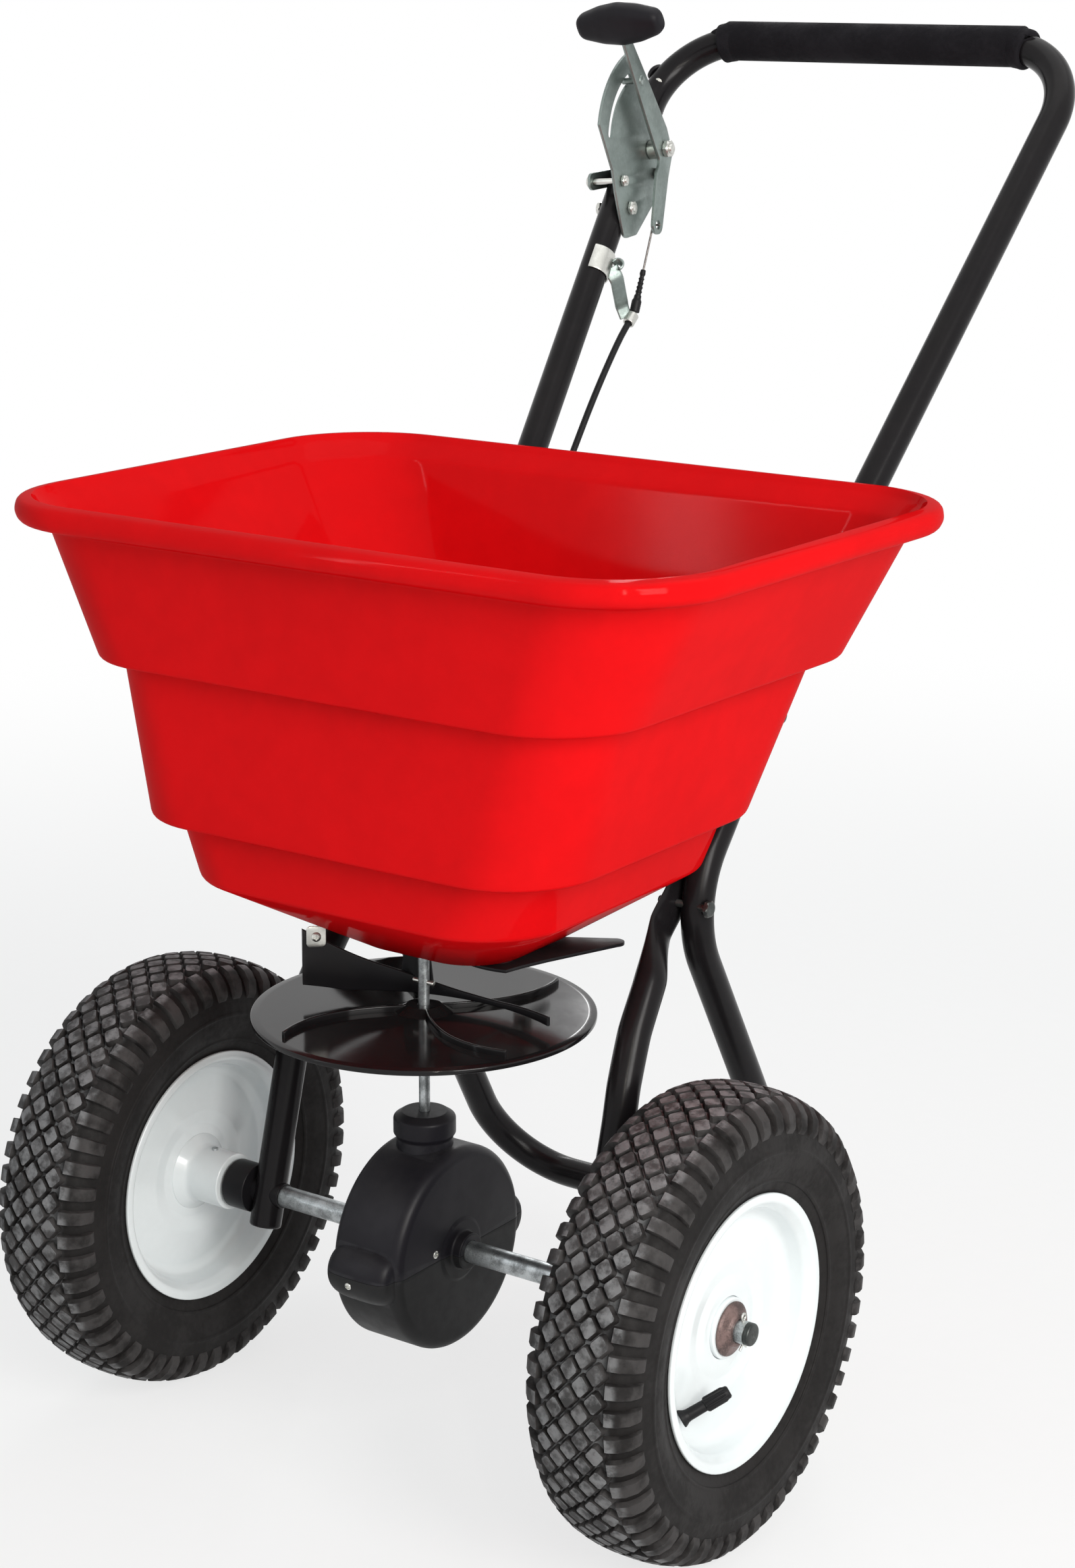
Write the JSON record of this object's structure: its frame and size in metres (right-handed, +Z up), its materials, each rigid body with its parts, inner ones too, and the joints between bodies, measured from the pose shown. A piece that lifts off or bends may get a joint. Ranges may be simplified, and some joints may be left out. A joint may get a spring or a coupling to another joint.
{
  "type": "walk-behind broadcast spreader",
  "caption": "Walk-behind broadcast spreader with a stepped hopper, a bent tube frame, air tyres, a geared spinning disc and a lever-worked shutter.",
  "frame": {"origin": "middle of the footprint on the ground, with both tyres standing on it", "axes": "+Z up; +X along the axle towards the free-running wheel, on the right of the person who pushes it seen from the front; +Y from the hopper towards the handle bar"},
  "size_m": [0.572, 0.7878, 1.0272],
  "materials": {
    "hopper": "smooth moulded plastic, satin sheen",
    "tube_paint": "black stove enamel, satin",
    "black_plastic": "moulded, fine grain",
    "disc": "moulded, glossy",
    "gear_case": "moulded, satin",
    "tyre": "moulded rubber, paler on the worn blocks",
    "soft_rubber": "extruded, satin",
    "foam": "closed-cell sleeve, dull",
    "knob": "moulded, deep grain",
    "rim": "white enamel, glossy",
    "bright_steel": "bright drawn bar",
    "zinc": "zinc plated",
    "lever_zinc": "zinc plated, grey green, dull",
    "gear": "as cast, greased",
    "wire": "stranded wire",
    "nylon": "natural nylon",
    "washer": "browned with rust"
  },
  "bodies": {
    "chassis": {"hopper": "hopper", "hopper_shaft_bush": "nylon", "left_hopper_bolt": "zinc", "right_hopper_bolt": "zinc", "handle_tube": "tube_paint", "handle_grip": "foam", "rear_frame": "tube_paint", "left_leg": "tube_paint", "right_leg": "tube_paint", "left_leg_bolt": "zinc", "right_leg_bolt": "zinc", "left_handle_bolt": "zinc", "right_handle_bolt": "zinc", "left_axle_bush": "black_plastic", "right_axle_bush": "black_plastic", "gear_case_upper": "gear_case", "gear_case_lower": "gear_case", "rear_guard": "black_plastic", "guard_bracket": "zinc", "shutter_pivot_bolt": "zinc", "cable_bracket": "zinc", "cable_bracket_bolt": "zinc", "lever_quadrant": "lever_zinc", "clamp_bar": "lever_zinc", "clamp_bolt_front": "zinc", "clamp_bolt_back": "zinc", "quadrant_bolt": "zinc", "lever_pivot_bolt": "zinc", "lever_spacer": "zinc", "cable_clip": "zinc", "cable_casing": "soft_rubber", "cable_boot": "soft_rubber"},
    "axle": {"axle": "bright_steel", "crown_gear": "gear", "crown_gear_pin": "zinc", "drive_wheel_tyre": "tyre", "drive_wheel_rim_outer": "rim", "drive_wheel_rim_inner": "rim", "drive_wheel_hub": "rim", "drive_wheel_pin": "bright_steel", "drive_wheel_valve": "soft_rubber", "free_wheel_washer": "washer", "free_wheel_cotter": "zinc"},
    "free_wheel": {"free_wheel_tyre": "tyre", "free_wheel_rim_outer": "rim", "free_wheel_rim_inner": "rim", "free_wheel_hub": "rim", "free_wheel_bush": "nylon", "free_wheel_valve": "soft_rubber"},
    "spinner": {"upright_shaft": "bright_steel", "pinion": "gear", "spinner_disc": "disc", "cross_pin": "zinc", "stirrer": "bright_steel"},
    "lever": {"lever": "lever_zinc", "lever_knob": "knob", "lever_wire": "wire"},
    "shutter": {"shutter_plate": "black_plastic", "shutter_wire": "wire"}
  },
  "joints": [
    {"name": "axle_spin", "type": "hinge", "parent": "chassis", "child": "axle", "pos_m": [0, -0.23005, 0.16472], "axis": [1, 0, 0], "continuous": true},
    {"name": "free_wheel_spin", "type": "hinge", "parent": "axle", "child": "free_wheel", "pos_m": [0.237, -0.23005, 0.16472], "axis": [1, 0, 0], "continuous": true},
    {"name": "spinner_spin", "type": "hinge", "parent": "chassis", "child": "spinner", "pos_m": [0, -0.23005, 0.33972], "axis": [0, 0, 1], "continuous": true},
    {"name": "lever_turn", "type": "hinge", "parent": "chassis", "child": "lever", "pos_m": [-0.15341, 0.30659, 0.90868], "axis": [0.9957, 0.0592, 0.0713], "range_deg": [0, 40], "deforming": ["lever_wire"]},
    {"name": "shutter_turn", "type": "hinge", "parent": "chassis", "child": "shutter", "pos_m": [0.054, -0.17405, 0.38187], "axis": [0, 0, 1], "range_deg": [-38, 0], "deforming": ["shutter_wire"]}
  ],
  "couplings": [
    {"joint": "spinner_spin", "follows": "axle_spin", "ratio": 4},
    {"joint": "shutter_turn", "follows": "lever_turn", "ratio": -0.95}
  ]
}
